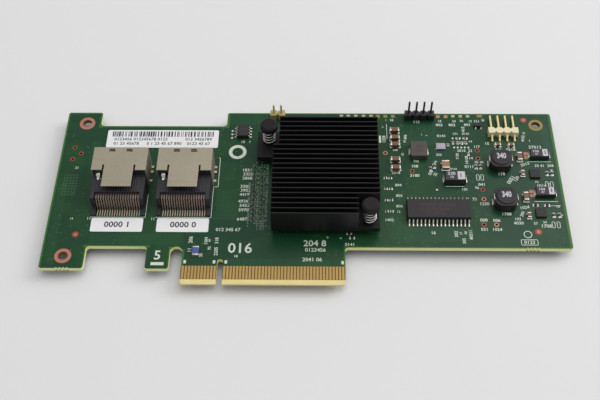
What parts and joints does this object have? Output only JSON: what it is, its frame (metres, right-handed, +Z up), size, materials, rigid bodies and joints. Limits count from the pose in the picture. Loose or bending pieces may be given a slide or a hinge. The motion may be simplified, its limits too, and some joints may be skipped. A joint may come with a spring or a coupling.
{
  "type": "raid controller card",
  "caption": "Low-profile storage controller card with a card-edge tab, internal drive ports, a finned heatsink on sprung pins, and pin headers.",
  "frame": {"origin": "under the middle of the board's outline, level with the tips of the push pins, which are the lowest points", "axes": "+X along the board to the end away from the bracket holes, +Y towards the edge that the drive ports face, +Z up off the component side"},
  "size_m": [0.1676, 0.0688, 0.0176],
  "materials": {
    "board_mask": "semi-gloss green solder mask over glass laminate",
    "gold_contact": "thin gold over nickel and copper",
    "shell_steel": "satin nickel plate",
    "black_plastic": "moulded matt black",
    "port_contact": "tin plate",
    "sink_black": "black anodised",
    "thermal_pad": "soft grey pad",
    "chip_mould": "dark grey moulding compound",
    "lead_tin": "tin plate",
    "pin_plastic": "moulded black-brown",
    "spring_steel": "bright wire",
    "grey_block": "pressed iron powder, grey",
    "ferrite": "black ferrite",
    "tantalum_mould": "black moulding compound",
    "ceramic_tan": "fired tan ceramic",
    "chip_blue": "blue glaze",
    "resistor_black": "black overglaze",
    "can_grey": "satin can",
    "cream_plastic": "moulded cream",
    "post_gold": "gold flash",
    "label_paper": "matt white label film"
  },
  "bodies": {
    "root": {"black_header_base": "black_plastic", "black_header_posts": "post_gold", "block_inductor": "grey_block", "block_inductor_terminals": "lead_tin", "blue_chip_bodies": "chip_blue", "blue_chip_ends": "lead_tin", "circuit_board": "board_mask", "code_label": "label_paper", "controller_chip": "chip_mould", "drive_port_contacts_left": "port_contact", "drive_port_contacts_right": "port_contact", "drive_port_housing_left": "black_plastic", "drive_port_housing_right": "black_plastic", "drive_port_shell_left": "shell_steel", "drive_port_shell_right": "shell_steel", "edge_contacts_bottom": "gold_contact", "edge_contacts_top": "gold_contact", "heatsink": "sink_black", "jumper_header_base": "cream_plastic", "jumper_header_posts": "post_gold", "lane_ceramic_bodies": "ceramic_tan", "lane_ceramic_ends": "lead_tin", "large_ceramic_bodies": "ceramic_tan", "large_ceramic_ends": "lead_tin", "large_tantalum": "tantalum_mould", "large_tantalum_terminals": "lead_tin", "lower_tantalum": "tantalum_mould", "medium_ceramic_bodies": "ceramic_tan", "medium_ceramic_ends": "lead_tin", "memory_chip_body": "chip_mould", "memory_chip_leads": "lead_tin", "oscillator": "can_grey", "port_label_left": "label_paper", "port_label_right": "label_paper", "push_pin_left": "pin_plastic", "push_pin_right": "pin_plastic", "push_spring_left": "spring_steel", "push_spring_right": "spring_steel", "regulator_chips": "chip_mould", "resistor_bodies": "resistor_black", "resistor_ends": "lead_tin", "round_inductor_lower": "ferrite", "round_inductor_terminals": "lead_tin", "round_inductor_upper": "ferrite", "side_header_base": "cream_plastic", "side_header_posts": "post_gold", "small_ceramic_bodies": "ceramic_tan", "small_ceramic_ends": "lead_tin", "small_chip_body": "chip_mould", "small_chip_leads": "lead_tin", "small_tantalum_terminals": "lead_tin", "thermal_pad": "thermal_pad", "transistor_body": "chip_mould", "transistor_leads": "lead_tin", "underside_ceramic_bodies": "ceramic_tan", "underside_ceramic_ends": "lead_tin", "upper_tantalum": "tantalum_mould", "wide_ceramic_bodies": "ceramic_tan", "wide_ceramic_ends": "lead_tin"}
  },
  "joints": []
}
